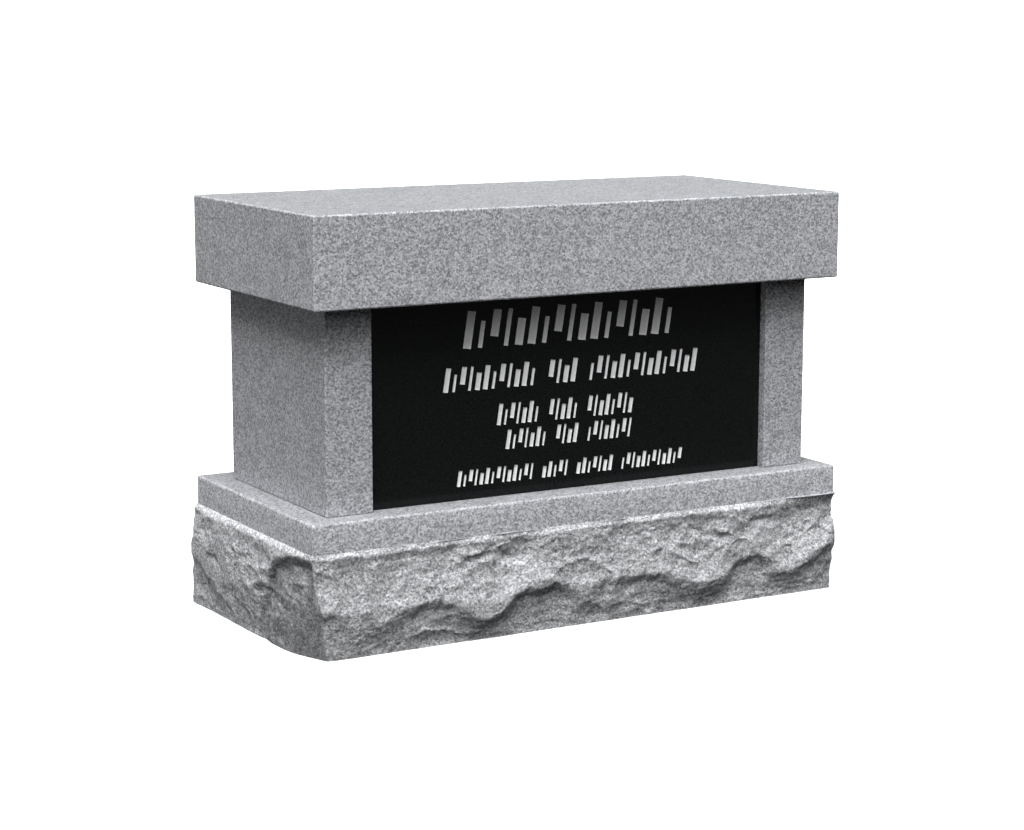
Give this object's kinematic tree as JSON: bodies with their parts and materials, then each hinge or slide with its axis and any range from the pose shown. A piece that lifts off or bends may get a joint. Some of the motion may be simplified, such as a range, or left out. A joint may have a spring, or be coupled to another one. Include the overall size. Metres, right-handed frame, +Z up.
{
  "type": "bench headstone",
  "caption": "Granite memorial bench: a thick slab seat on two upright slab legs, a black die with a cut face between them, and a rock-pitched base stone with a smooth step.",
  "frame": {"origin": "middle of the flat underside of the base stone, at ground level", "axes": "+Z up, +X along the bench's length, -Y the way that the inscribed black face looks"},
  "size_m": [0.9546, 0.455, 0.6443],
  "materials": {
    "grey_granite": "sawn and steeled grey granite with a fine black, white and grey grain",
    "rock_granite": "the same grey granite, rock-pitched on its sides and steeled on its step",
    "black_granite": "polished black granite with pale frosted strokes cut into its front"
  },
  "bodies": {
    "root": {"base": "rock_granite", "leg_left": "grey_granite", "leg_right": "grey_granite", "panel": "black_granite", "seat": "grey_granite"}
  },
  "joints": []
}
